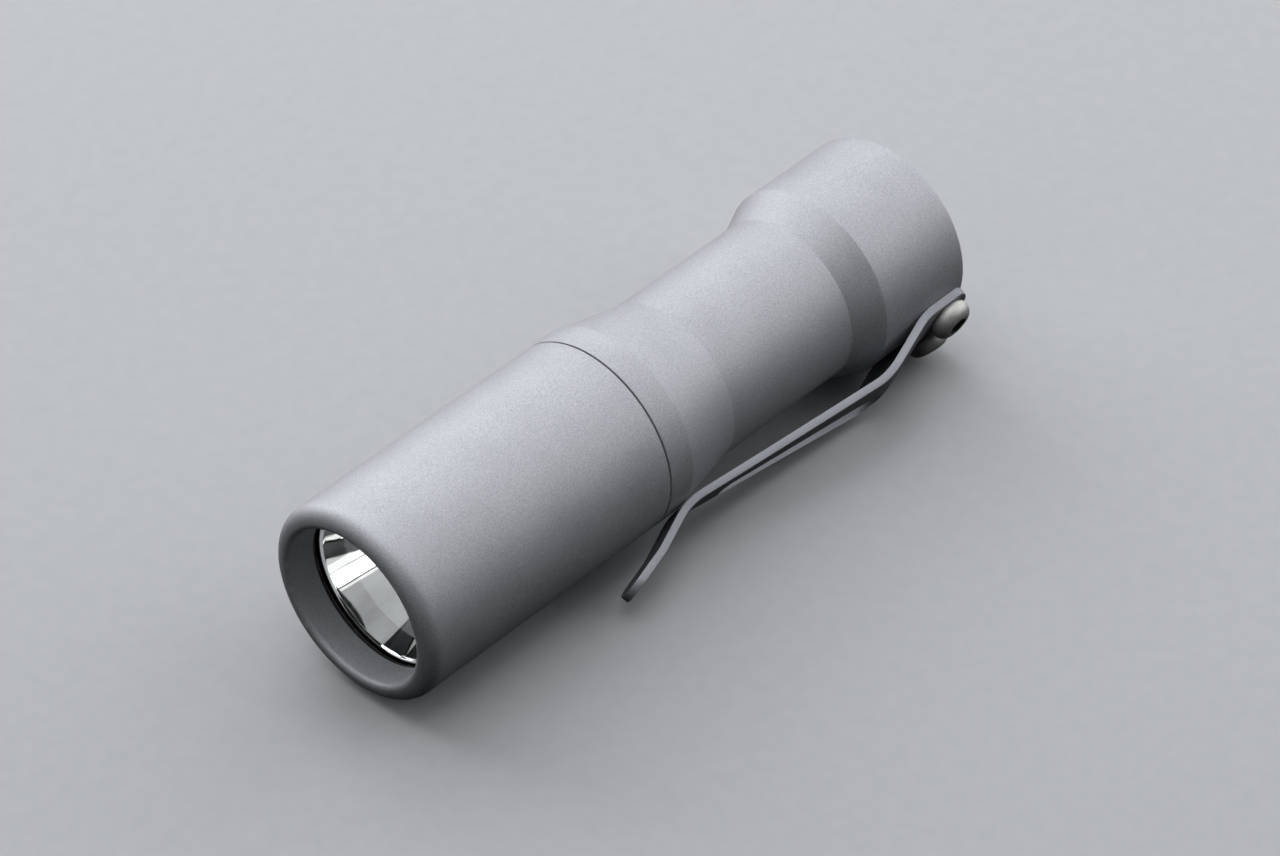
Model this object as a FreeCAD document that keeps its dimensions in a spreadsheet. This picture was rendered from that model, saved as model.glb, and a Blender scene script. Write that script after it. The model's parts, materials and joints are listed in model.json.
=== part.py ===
"""Keychain flashlight: a twist-switched light for one 16 mm x 34 mm lithium cell.

The light lies on its side.  X runs along the optical axis and points at the tail, Z is up,
and the origin is the centre of the tail's flat end.  Stations along the light are written
from the front rim, so every body is built from the rim and then moved back by the light's
length.  The pocket clip is screwed to the tail; clip_angle says how far its middle lies
below the -Y side.
"""
import FreeCAD, Part
import math
import os
from types import SimpleNamespace

import Sketcher

VECTOR = FreeCAD.Vector
ALONG_X = FreeCAD.Rotation(VECTOR(0, 1, 0), 90)
ACROSS_X = FreeCAD.Rotation(VECTOR(1, 0, 0), 90)

# How far a cutting outline runs past the metal, and how close two measured points must be
# to count as one, in millimetres.
PAST = 1.0
SAME = 1e-3
# Left between two rounds that would otherwise meet in a point.
ROUND_GAP = 0.05
# Length of the solid that gives the clip its outline.
SLAB_DEPTH = 30.0

# Driving dimensions in millimetres, or degrees where the name ends in _angle.
DIMENSIONS = {
    # outside of the head and the tube, as stations from the front rim
    "light_length": 83.4,
    "head_radius": 11.5,
    "waist_radius": 9.81,
    "seam_at": 35.6,
    "band_end": 39.1,
    "waist_start": 47.45,
    "waist_end": 66.5,
    "flare_end": 70.4,
    "seam_gap": 0.15,
    "seam_chamfer": 0.12,
    "tail_round": 0.4,
    "lip_round": 1.7,
    "lip_inner_round": 0.6,
    # front opening, window and its seal
    "lip_bore": 9.15,
    "lip_depth": 3.3,
    "barrel_bore": 9.8,
    "slip_gap": 0.03,
    "seal_wire": 0.39,
    "seal_space": 0.8,
    "window_thick": 1.0,
    # mirror
    "mirror_mouth": 9.1,
    "mirror_focal": 1.2,
    "mirror_hole": 2.75,
    "mirror_wall": 0.9,
    "mirror_flange": 1.6,
    "mirror_foot": 3.9,
    # light source
    "emitter_side": 3.45,
    "emitter_thick": 0.8,
    "die_side": 1.6,
    "die_thick": 0.12,
    "dome_radius": 1.3,
    "centring_gap": 0.05,
    "board_radius": 8.0,
    "board_thick": 1.6,
    "notch_width": 1.8,
    # parts on the driver board: width across the board, height above it, centre
    "coil_side": 4.0,
    "coil_height": 1.9,
    "coil_up": 3.6,
    "chip_side": 3.0,
    "chip_height": 0.9,
    "chip_across": 1.2,
    "chip_up": -1.8,
    "capacitor_side": 0.8,
    "capacitor_length": 1.6,
    "capacitor_pitch": 1.4,
    "capacitor_across": -2.2,
    "capacitor_up": -4.8,
    # heat sink, driver and its retaining ring
    "sink_shelf": 1.6,
    "cavity_depth": 2.2,
    "cavity_radius": 7.6,
    "driver_radius": 8.5,
    "driver_thick": 1.0,
    "ring_thick": 1.0,
    "ring_bore": 7.2,
    "spanner_slot": 1.4,
    "spanner_slot_end": 9.0,
    "post_radius": 2.4,
    "post_length": 5.0,
    "post_round": 0.5,
    "lead_radius": 0.4,
    "lead_offset": 6.3,
    "lead_hole": 0.75,
    "lead_bend": 1.0,
    "lead_pad": 4.5,
    # neck, thread and neck seal
    "neck_gap": 0.05,
    "cell_bore": 8.6,
    "thread_pitch": 1.0,
    "thread_root": 9.87,
    "thread_crest": 10.33,
    "thread_foot_width": 0.6,
    "thread_crest_width": 0.26,
    "thread_gap": 0.06,
    "thread_turns": 2.6,
    "relief_width": 0.8,
    "seal_land_at": 33.8,
    "seal_land": 10.38,
    "seal_bore": 10.45,
    "groove_at": 34.25,
    "groove_width": 1.0,
    "groove_floor": 9.5,
    "neck_seal_wire": 0.45,
    # cell
    "touch_gap": 0.02,
    "cell_radius": 8.35,
    "cell_length": 34.5,
    "sleeve_thick": 0.15,
    "button_radius": 3.0,
    "button_height": 1.2,
    "button_round": 0.4,
    "button_gap": 0.1,
    "sleeve_fold": 1.4,
    "cell_round": 0.6,
    "washer_thick": 0.3,
    # tail
    "floor_at": 76.9,
    "plate_thick": 1.2,
    "plate_radius": 8.5,
    "plate_hole": 1.1,
    "spring_wire": 0.4,
    "spring_base": 5.4,
    "spring_top": 2.9,
    "spring_turns": 5.0,
    "tail_screw_shank": 0.98,
    "tail_screw_length": 4.2,
    "tail_screw_head": 1.9,
    "tail_screw_height": 1.2,
    "tail_screw_round": 0.5,
    "tail_screw_room": 0.4,
    "cross_arm": 1.0,
    "cross_slit": 0.2,
    "cross_depth": 0.8,
    "tail_screw_hole": 1.0,
    # clip screws, set square to the tail's round wall
    "clip_angle": 32.5,
    "screw_at": 80.4,
    "screw_angle": 13.0,
    "screw_shank": 1.5,
    "screw_hole": 1.52,
    "screw_depth": 3.5,
    "screw_reach": 3.3,
    "screw_seat": 12.2,
    "screw_head": 2.65,
    "screw_height": 2.0,
    "screw_round": 1.2,
    "hex_across": 2.0,
    "hex_depth": 1.1,
    # pocket clip: sheet bent along its length, curved across its width
    "clip_sheet": 0.8,
    "clip_base_end": 83.3,
    "clip_base_start": 76.46,
    "clip_base_height": 11.58,
    "clip_crest_at": 67.69,
    "clip_crest_height": 14.29,
    "clip_touch_at": 38.97,
    "clip_touch_height": 11.48,
    "clip_tip_at": 26.7,
    "clip_tip_height": 15.78,
    "clip_foot_bend": 6.7,
    "clip_crest_bend": 6.4,
    "clip_touch_bend": 8.9,
    "clip_half_width": 5.12,
    "clip_taper_start": 68.7,
    "clip_taper_end": 38.7,
    "clip_tip_half_width": 2.07,
    "clip_corner": 1.6,
    "clip_hole": 1.65,
    "clip_spotface": 2.75,
    "slot_narrow_at": 45.55,
    "slot_narrow_half": 1.35,
    "slot_wide_at": 63.2,
    "slot_wide_half": 2.65,
    "slot_end_at": 67.9,
    "slot_corner": 2.0,
    "clip_side_bend": 4.0,
    "clip_sweep_angle": 90.0,
}

doc = FreeCAD.newDocument("keychain_flashlight")
sheet = doc.addObject("Spreadsheet::Sheet", "Dims")
for row, (name, number) in enumerate(DIMENSIONS.items(), start=1):
    sheet.set("A%d" % row, name)
    sheet.set("B%d" % row, str(number))
    sheet.setAlias("B%d" % row, name)
doc.recompute()


class Size:
    """A number together with the spreadsheet formula that gives it."""

    def __init__(self, number, formula):
        self.number = number
        self.formula = formula

    def __add__(self, other):
        other = as_size(other)
        return Size(self.number + other.number, "(%s + %s)" % (self.formula, other.formula))

    def __sub__(self, other):
        other = as_size(other)
        return Size(self.number - other.number, "(%s - %s)" % (self.formula, other.formula))

    def __mul__(self, other):
        other = as_size(other)
        return Size(self.number * other.number, "(%s * %s)" % (self.formula, other.formula))

    def __truediv__(self, other):
        other = as_size(other)
        return Size(self.number / other.number, "(%s / %s)" % (self.formula, other.formula))

    def __neg__(self):
        return Size(-self.number, "(0 - %s)" % self.formula)


def as_size(value):
    return value if isinstance(value, Size) else Size(value, repr(value))


dims = SimpleNamespace(**{name: Size(sheet.get(name), "Dims." + name) for name in DIMENSIONS})

# Stations that follow from the driving dimensions, front to back.
window_at = dims.lip_depth + dims.seal_space
mirror_at = window_at + dims.window_thick
mirror_scale = dims.mirror_focal * 4.0
mirror_vertex = mirror_at + dims.mirror_mouth * dims.mirror_mouth / mirror_scale
emitter_at = mirror_vertex - dims.mirror_focal
board_at = emitter_at + dims.emitter_thick
sink_at = board_at + dims.board_thick
cavity_at = sink_at + dims.sink_shelf
driver_at = cavity_at + dims.cavity_depth
ring_at = driver_at + dims.driver_thick
ring_end = ring_at + dims.ring_thick
neck_at = ring_end + dims.neck_gap
thread_bore_at = ring_end + dims.relief_width
female_thread_at = thread_bore_at - dims.thread_foot_width
male_thread_at = female_thread_at + dims.thread_pitch
shoulder_at = dims.seam_at + dims.seam_gap
cell_at = ring_at + dims.post_length + dims.touch_gap
can_at = cell_at + dims.button_height
cell_end = cell_at + dims.cell_length
plate_at = dims.floor_at - dims.plate_thick
slip_radius = dims.barrel_bore - dims.slip_gap
thread_bore = dims.thread_root + dims.thread_gap

nodes = []


def bind(thing, path, size):
    """Hold one property of an object at a spreadsheet formula."""
    thing.setExpression(path, as_size(size).formula)


def sine(angle):
    """Sine of an angle in degrees, as a size."""
    return Size(math.sin(math.radians(angle.number)), "sin(%s * 1 deg)" % angle.formula)


def cosine(angle):
    """Cosine of an angle in degrees, as a size."""
    return Size(math.cos(math.radians(angle.number)), "cos(%s * 1 deg)" % angle.formula)


def lay_across(thing, path, radius, turn):
    """Turn a placement about X and move it outwards by a radius along its own Z."""
    setattr(thing, path, FreeCAD.Placement(
        VECTOR(0, 0, 0), FreeCAD.Rotation(VECTOR(1, 0, 0), turn.number)))
    bind(thing, path + ".Rotation.Angle", turn)
    bind(thing, path + ".Base.y", -(radius * sine(turn)))
    bind(thing, path + ".Base.z", radius * cosine(turn))


def set_station(thing, station):
    """Place an object along the axis at a station counted from the front rim."""
    bind(thing, "Placement.Base.x", as_size(station) - dims.light_length)


def new_body(label, angle=None):
    """Start a body at the front rim; angle turns it about the light's axis."""
    body = doc.addObject("PartDesign::Body", label)
    body.Label = label
    if angle is not None:
        body.Placement.Rotation = FreeCAD.Rotation(VECTOR(1, 0, 0), angle.number)
        bind(body, "Placement.Rotation.Angle", angle)
    set_station(body, 0.0)
    return body


def new_sketch(body, name, role="XY_Plane"):
    """Start a sketch on one of the body's own origin planes."""
    sketch = body.newObject("Sketcher::SketchObject", name)
    planes = [part for part in body.Origin.OriginFeatures if part.Role == role]
    sketch.AttachmentSupport = [(planes[0], "")]
    sketch.MapMode = "FlatFace"
    return sketch


def point(corner):
    return VECTOR(as_size(corner[0]).number, as_size(corner[1]).number, 0)


def hold(sketch, rules):
    """Add constraints; each rule is a constraint and the size it is bound to, or None."""
    places = sketch.addConstraint([rule for rule, size in rules])
    for place, (rule, size) in zip(places, rules):
        if size is not None:
            bind(sketch, "Constraints[%d]" % place, size)


def pin_rules(geometry, end, corner):
    """Rules that hold one end of a sketch element at a corner."""
    rules = []
    for axis, kind, value in ((-2, "DistanceX", corner[0]), (-1, "DistanceY", corner[1])):
        value = as_size(value)
        if value.number == 0:
            rules.append((Sketcher.Constraint("PointOnObject", geometry, end, axis), None))
        else:
            rule = Sketcher.Constraint(kind, -1, 1, geometry, end, value.number)
            rules.append((rule, value))
    return rules


def polygon(sketch, corners):
    """Draw a closed outline through its corners."""
    first = sketch.GeometryCount
    count = len(corners)
    following = corners[1:] + corners[:1]
    lines = [Part.LineSegment(point(a), point(b)) for a, b in zip(corners, following)]
    sketch.addGeometry(lines, False)
    rules = []
    for number, corner in enumerate(corners):
        after = first + (number + 1) % count
        rules.append((Sketcher.Constraint("Coincident", first + number, 2, after, 1), None))
        rules += pin_rules(first + number, 1, corner)
    hold(sketch, rules)


def circle(sketch, centre, radius):
    """Draw a circle."""
    radius = as_size(radius)
    place = sketch.addGeometry(Part.Circle(point(centre), VECTOR(0, 0, 1), radius.number), False)
    rules = pin_rules(place, 3, centre)
    rules.append((Sketcher.Constraint("Radius", place, radius.number), radius))
    hold(sketch, rules)


def rounded_path(sketch, corners, radii, closed):
    """Draw straight runs between corners, joined by tangent arcs of the given radii.

    An open path has one radius fewer at each end than it has corners; a closed outline has
    one radius per corner.  The corners stay as construction points that hold the runs.
    """
    count = len(corners)
    spots = [point(corner) for corner in corners]
    runs = count if closed else count - 1
    bends = range(count) if closed else range(1, count - 1)
    sizes = {bend: as_size(radii[k]) for k, bend in enumerate(bends)}

    def setback(bend):
        """Unit directions along both runs at a corner, and the arc's distance along them."""
        before = (spots[bend - 1] - spots[bend]).normalize()
        after = (spots[(bend + 1) % count] - spots[bend]).normalize()
        half = before.getAngle(after) / 2
        return before, after, half, sizes[bend].number / math.tan(half)

    starts = {}
    ends = {}
    arcs = []
    for bend in bends:
        before, after, half, back = setback(bend)
        ends[(bend - 1) % count] = spots[bend] + before * back
        starts[bend] = spots[bend] + after * back
        inward = (before + after).normalize()
        middle = spots[bend] + inward * (sizes[bend].number / math.sin(half) - sizes[bend].number)
        arcs.append(Part.Arc(ends[(bend - 1) % count], middle, starts[bend]))
    first = sketch.GeometryCount
    lines = []
    for run in range(runs):
        begin = starts.get(run, spots[run])
        finish = ends.get(run, spots[(run + 1) % count])
        lines.append(Part.LineSegment(begin, finish))
    sketch.addGeometry(lines, False)
    sketch.addGeometry(arcs, False)
    rules = []
    for number, bend in enumerate(bends):
        arc = first + runs + number
        before = first + (bend - 1) % count
        after = first + bend
        # An arc keeps its counter-clockwise sense, so its first end may be on either run.
        begins_here = (sketch.getPoint(arc, 1) - ends[(bend - 1) % count]).Length < 1e-6
        near, far = (1, 2) if begins_here else (2, 1)
        rules.append((Sketcher.Constraint("Tangent", before, 2, arc, near), None))
        rules.append((Sketcher.Constraint("Tangent", arc, far, after, 1), None))
        rules.append((Sketcher.Constraint("Radius", arc, sizes[bend].number), sizes[bend]))
        corner = sketch.addGeometry(Part.Point(spots[bend]), True)
        rules += pin_rules(corner, 1, corners[bend])
        rules.append((Sketcher.Constraint("PointOnObject", corner, 1, before), None))
        rules.append((Sketcher.Constraint("PointOnObject", corner, 1, after), None))
    if not closed:
        rules += pin_rules(first, 1, corners[0])
        rules += pin_rules(first + runs - 1, 2, corners[-1])
    hold(sketch, rules)


def revolve(body, name, corners):
    """Turn a closed outline (station, radius) about the light's axis."""
    profile = new_sketch(body, name + "_profile")
    polygon(profile, corners)
    turned = body.newObject("PartDesign::Revolution", name)
    turned.Profile = profile
    turned.ReferenceAxis = (profile, ["H_Axis"])
    turned.Angle = 360
    doc.recompute()
    return turned


def cylinder_profile(start, end, radius, bore=0.0):
    """Outline of a disc, or of a ring when it has a bore."""
    return [(start, bore), (end, bore), (end, radius), (start, radius)]


def drill(body, name, station, depth, centres, radius):
    """Cut round holes parallel to the light's axis, from a station towards the tail."""
    before = body.Shape.Volume
    spots = new_sketch(body, name + "_spots", "YZ_Plane")
    bind(spots, "AttachmentOffset.Base.z", station)
    for centre in centres:
        circle(spots, centre, radius)
    return cut_from(body, name, spots, depth, before, reverse=True)


def cut_from(body, name, sketch, depth, before, reverse=False, both_ways=False):
    """Pocket a sketch into its body and make sure that metal has gone."""
    pocket = body.newObject("PartDesign::Pocket", name)
    pocket.Profile = sketch
    pocket.Reversed = reverse
    pocket.Midplane = both_ways
    bind(pocket, "Length", depth)
    doc.recompute()
    if not body.Shape.Volume < before - SAME:
        raise RuntimeError("%s cuts nothing" % name)
    return pocket


def rim_edges(shape, station, radius):
    """Names of the full-circle edges at one station and radius."""
    found = []
    for number, edge in enumerate(shape.Edges, start=1):
        curve = edge.Curve
        if not isinstance(curve, Part.Circle):
            continue
        same_place = abs(curve.Center.x - station) < SAME
        if same_place and abs(curve.Radius - radius) < SAME:
            found.append("Edge%d" % number)
    if not found:
        raise RuntimeError("no rim at station %.3f, radius %.3f" % (station, radius))
    return found


def crown_edges(shape, height, radius):
    """Names of the circular edges of a screw blank at one height and radius."""
    found = []
    for number, edge in enumerate(shape.Edges, start=1):
        curve = edge.Curve
        if isinstance(curve, Part.Circle) and abs(curve.Center.z - height) < SAME:
            if abs(curve.Radius - radius) < SAME:
                found.append("Edge%d" % number)
    if not found:
        raise RuntimeError("no screw crown at height %.3f" % height)
    return found


def soften(body, name, kind, rims, size):
    """Fillet or chamfer circular rims; each rim is (station, radius)."""
    base = body.Tip
    edges = []
    for station, radius in rims:
        local = base.Shape
        edges += rim_edges(local, as_size(station).number, as_size(radius).number)
    edge_work = body.newObject("PartDesign::" + kind, name)
    edge_work.Base = (base, edges)
    bind(edge_work, "Radius" if kind == "Fillet" else "Size", size)
    doc.recompute()
    return edge_work


def thread_ridge(body, name, kind, start, foot, crest, foot_width, crest_width, run):
    """Wind a trapezium about the axis: kind adds a ridge or cuts a groove."""
    half_foot = foot_width / 2.0
    half_crest = crest_width / 2.0
    profile = new_sketch(body, name + "_profile")
    polygon(profile, [
        (start - half_foot, foot),
        (start + half_foot, foot),
        (start + half_crest, crest),
        (start - half_crest, crest),
    ])
    helix = body.newObject("PartDesign::" + kind, name)
    helix.Profile = profile
    helix.ReferenceAxis = (profile, ["H_Axis"])
    helix.Mode = "pitch-height-angle"
    bind(helix, "Pitch", dims.thread_pitch)
    bind(helix, "Height", run)
    helix.LeftHanded = False
    doc.recompute()
    return helix


def keep(thing):
    """Record a finished sub-part under its node name."""
    nodes.append(thing)
    return thing


def disc(label, station, radius, thickness):
    """A plain disc across the light's axis."""
    plate = doc.addObject("Part::Cylinder", label)
    plate.Label = label
    plate.Placement = FreeCAD.Placement(VECTOR(0, 0, 0), ALONG_X)
    bind(plate, "Radius", radius)
    bind(plate, "Height", thickness)
    set_station(plate, station)
    return plate


def seal_ring(label, station, radius, wire):
    """A round-section rubber ring about the light's axis."""
    ring = doc.addObject("Part::Torus", label)
    ring.Label = label
    ring.Placement = FreeCAD.Placement(VECTOR(0, 0, 0), ALONG_X)
    bind(ring, "Radius1", radius)
    bind(ring, "Radius2", wire)
    set_station(ring, station)
    return ring


def block(label, station, size_x, size_y, size_z, centre_y=0.0, centre_z=0.0):
    """A box that starts at a station and is centred across the light."""
    box = doc.addObject("Part::Box", label)
    box.Label = label
    bind(box, "Length", size_x)
    bind(box, "Width", size_y)
    bind(box, "Height", size_z)
    set_station(box, station)
    bind(box, "Placement.Base.y", as_size(centre_y) - as_size(size_y) / 2.0)
    bind(box, "Placement.Base.z", as_size(centre_z) - as_size(size_z) / 2.0)
    return box


def cut(label, base, tool):
    """Subtract one object from another."""
    result = doc.addObject("Part::Cut", label)
    result.Label = label
    result.Base = base
    result.Tool = tool
    return result


def group(label, members):
    """Several identical solids as one node."""
    compound = doc.addObject("Part::Compound", label)
    compound.Label = label
    compound.Links = members
    return compound


def make_head_shell():
    """The barrel: rounded front lip, bore for the optics, thread and seal bore at the back."""
    body = new_body("head_shell")
    revolve(body, "barrel", [
        (0.0, dims.lip_bore),
        (dims.lip_depth, dims.lip_bore),
        (dims.lip_depth, dims.barrel_bore),
        (ring_end, dims.barrel_bore),
        (ring_end, dims.seal_bore),
        (thread_bore_at, dims.seal_bore),
        (thread_bore_at, thread_bore),
        (dims.seal_land_at - dims.seam_gap, thread_bore),
        (dims.seal_land_at - dims.seam_gap, dims.seal_bore),
        (dims.seam_at, dims.seal_bore),
        (dims.seam_at, dims.head_radius),
        (0.0, dims.head_radius),
    ])
    soften(body, "lip_outer", "Fillet", [(0.0, dims.head_radius)], dims.lip_round)
    soften(body, "lip_inner", "Fillet", [(0.0, dims.lip_bore)], dims.lip_inner_round)
    soften(body, "seam_edge", "Chamfer", [(dims.seam_at, dims.head_radius)], dims.seam_chamfer)
    thread_ridge(
        body, "head_thread", "SubtractiveHelix", female_thread_at,
        thread_bore - dims.thread_gap, dims.thread_crest + dims.thread_gap,
        dims.thread_foot_width + dims.thread_gap * 2.0,
        dims.thread_crest_width + dims.thread_gap * 2.0,
        dims.seal_land_at - female_thread_at + dims.thread_foot_width,
    )
    return keep(body)


def make_window():
    """The round glass window and the rubber ring that seals it against the lip."""
    keep(disc("window", window_at, slip_radius, dims.window_thick))
    centre = dims.lip_depth + dims.seal_space / 2.0
    keep(seal_ring("window_seal", centre, dims.lip_bore, dims.seal_wire))


def make_reflector():
    """A paraboloid mirror with a flange at its mouth and a foot round the emitter.

    A parabola is exactly a quadratic Bezier curve, which sketches do not offer, so the
    section is made from edges.
    """
    spread = 4 * sheet.mirror_focal
    wall = sheet.mirror_wall
    front = mirror_at.number
    vertex = mirror_vertex.number
    back_vertex = vertex + 2 * wall
    foot_at = emitter_at.number - sheet.centring_gap
    flange_end = front + sheet.mirror_flange
    flange_radius = slip_radius.number

    def on_dish(vertex_at, radius):
        """The point of a parabola about the axis at one radius."""
        return VECTOR(vertex_at - radius ** 2 / spread, radius, 0)

    def dish(vertex_at, start, end):
        """The stretch of a parabola between two radii."""
        control = VECTOR(vertex_at - start * end / spread, (start + end) / 2, 0)
        curve = Part.BezierCurve()
        curve.setPoles([on_dish(vertex_at, start), control, on_dish(vertex_at, end)])
        return curve.toShape()

    back_radius = math.sqrt(spread * (back_vertex - flange_end))
    foot_radius = math.sqrt(spread * (back_vertex - foot_at))
    straight = [
        on_dish(back_vertex, back_radius),
        VECTOR(flange_end, flange_radius, 0),
        VECTOR(front, flange_radius, 0),
        on_dish(vertex, sheet.mirror_mouth),
    ]
    foot = [
        on_dish(vertex, sheet.mirror_hole),
        VECTOR(foot_at, sheet.mirror_hole, 0),
        on_dish(back_vertex, foot_radius),
    ]
    edges = [dish(back_vertex, foot_radius, back_radius)]
    edges += [Part.makeLine(a, b) for a, b in zip(straight, straight[1:])]
    edges.append(dish(vertex, sheet.mirror_mouth, sheet.mirror_hole))
    edges += [Part.makeLine(a, b) for a, b in zip(foot, foot[1:])]
    section = Part.Face(Part.Wire(edges))
    mirror = doc.addObject("Part::Feature", "reflector")
    mirror.Label = "reflector"
    mirror.Shape = section.revolve(VECTOR(0, 0, 0), VECTOR(1, 0, 0), 360)
    mirror.Placement = FreeCAD.Placement(VECTOR(-sheet.light_length, 0, 0), FreeCAD.Rotation())
    return keep(mirror)


def make_emitter():
    """The light source: ceramic base, phosphor die and clear dome, in a centring ring."""
    side = dims.emitter_side
    keep(block("emitter_base", emitter_at, dims.emitter_thick, side, side))
    die_at = emitter_at - dims.die_thick
    keep(block("emitter_die", die_at, dims.die_thick, dims.die_side, dims.die_side))
    dome_body = new_body("dome_blank")
    dome_profile = new_sketch(dome_body, "dome_profile")
    flat = emitter_at.number
    reach = sheet.dome_radius
    arc = Part.ArcOfCircle(
        Part.Circle(VECTOR(flat, 0, 0), VECTOR(0, 0, 1), reach), math.pi / 2, math.pi)
    lines = [
        Part.LineSegment(VECTOR(flat - reach, 0, 0), VECTOR(flat, 0, 0)),
        Part.LineSegment(VECTOR(flat, 0, 0), VECTOR(flat, reach, 0)),
    ]
    dome_profile.addGeometry([arc] + lines, False)
    rules = [
        (Sketcher.Constraint("Coincident", 0, 2, 1, 1), None),
        (Sketcher.Constraint("Coincident", 1, 2, 2, 1), None),
        (Sketcher.Constraint("Coincident", 2, 2, 0, 1), None),
        (Sketcher.Constraint("Coincident", 0, 3, 1, 2), None),
        (Sketcher.Constraint("Vertical", 2), None),
        (Sketcher.Constraint("PointOnObject", 0, 2, -1), None),
        (Sketcher.Constraint("Radius", 0, reach), dims.dome_radius),
    ]
    hold(dome_profile, rules + pin_rules(1, 2, (emitter_at, 0.0)))
    turned = dome_body.newObject("PartDesign::Revolution", "dome_turned")
    turned.Profile = dome_profile
    turned.ReferenceAxis = (dome_profile, ["H_Axis"])
    turned.Angle = 360
    room = block("die_room", die_at, dims.die_thick, dims.die_side, dims.die_side)
    keep(cut("emitter_dome", dome_body, room))
    ring_thick = dims.emitter_thick
    ring_blank = disc("centring_blank", emitter_at, dims.mirror_foot, ring_thick)
    window_side = side + dims.centring_gap * 2.0
    window = block("centring_window", emitter_at, ring_thick, window_side, window_side)
    keep(cut("centring_ring", ring_blank, window))


def make_led_board():
    """Round aluminium-cored board with two edge notches for the leads."""
    body = new_body("led_board")
    revolve(body, "board_disc", cylinder_profile(board_at, sink_at, dims.board_radius))
    before = body.Shape.Volume
    notches = new_sketch(body, "lead_notches", "XY_Plane")
    inner = dims.lead_offset - dims.notch_width / 2.0
    outer = dims.board_radius + PAST
    for side in (1.0, -1.0):
        polygon(notches, [
            (board_at - PAST, inner * side),
            (sink_at + PAST, inner * side),
            (sink_at + PAST, outer * side),
            (board_at - PAST, outer * side),
        ])
    cut_from(body, "lead_notches_cut", notches, dims.notch_width, before, both_ways=True)
    return keep(body)


def make_heat_sink():
    """The plug behind the board: a thick shelf with a cavity for the driver parts."""
    body = new_body("heat_sink")
    seat = dims.driver_radius + dims.slip_gap
    revolve(body, "plug", [
        (sink_at, 0.0),
        (cavity_at, 0.0),
        (cavity_at, dims.cavity_radius),
        (driver_at, dims.cavity_radius),
        (driver_at, seat),
        (ring_at, seat),
        (ring_at, slip_radius),
        (sink_at, slip_radius),
    ])
    centres = [(dims.lead_offset, 0.0), (-dims.lead_offset, 0.0)]
    drill(body, "lead_holes", sink_at, dims.sink_shelf, centres, dims.lead_hole)
    return keep(body)


def make_driver():
    """Driver board with its coil, chip and capacitors on the front face."""
    keep(disc("driver_board", driver_at, dims.driver_radius, dims.driver_thick))
    coil = dims.coil_side
    keep(block("driver_coil", driver_at - dims.coil_height, dims.coil_height, coil, coil,
               0.0, dims.coil_up))
    chip = dims.chip_side
    keep(block("driver_chip", driver_at - dims.chip_height, dims.chip_height, chip, chip,
               dims.chip_across, dims.chip_up))
    side = dims.capacitor_side
    caps = []
    for number in (1, 2, 3):
        name = "driver_capacitor_%d" % number
        centre_y = dims.capacitor_across + dims.capacitor_pitch * (number - 2)
        caps.append(block(name, driver_at - side, side, side, dims.capacitor_length,
                          centre_y, dims.capacitor_up))
    keep(group("driver_capacitors", caps))


def make_retaining_ring():
    """Brass ring that clamps the driver; two slots take a pin spanner."""
    body = new_body("retaining_ring")
    revolve(body, "ring", cylinder_profile(ring_at, ring_end, slip_radius, dims.ring_bore))
    before = body.Shape.Volume
    slots = new_sketch(body, "spanner_slots", "XY_Plane")
    halfway = ring_at + dims.ring_thick / 2.0
    inner = dims.ring_bore - PAST
    outer = dims.spanner_slot_end
    for side in (1.0, -1.0):
        polygon(slots, [
            (halfway, inner * side),
            (ring_end + PAST, inner * side),
            (ring_end + PAST, outer * side),
            (halfway, outer * side),
        ])
    cut_from(body, "spanner_slots_cut", slots, dims.spanner_slot, before, both_ways=True)
    return keep(body)


def make_contact_post():
    """Brass post that meets the cell's button."""
    body = new_body("contact_post")
    end = ring_at + dims.post_length
    revolve(body, "post", cylinder_profile(ring_at, end, dims.post_radius))
    soften(body, "post_round", "Fillet", [(end, dims.post_radius)], dims.post_round)
    return keep(body)


def make_lead(label, side):
    """One insulated lead from the driver, through the plug, to its pad on the board."""
    body = new_body(label)
    path = new_sketch(body, label + "_path", "XY_Plane")
    pad_height = board_at - dims.lead_radius - dims.touch_gap
    rounded_path(path, [
        (driver_at - dims.touch_gap, dims.lead_offset * side),
        (pad_height, dims.lead_offset * side),
        (pad_height, dims.lead_pad * side),
    ], [dims.lead_bend], closed=False)
    section = new_sketch(body, label + "_section", "YZ_Plane")
    bind(section, "AttachmentOffset.Base.z", driver_at - dims.touch_gap)
    circle(section, (dims.lead_offset * side, 0.0), dims.lead_radius)
    pipe = body.newObject("PartDesign::AdditivePipe", label + "_pipe")
    pipe.Profile = section
    pipe.Spine = path
    doc.recompute()
    return keep(body)


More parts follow.
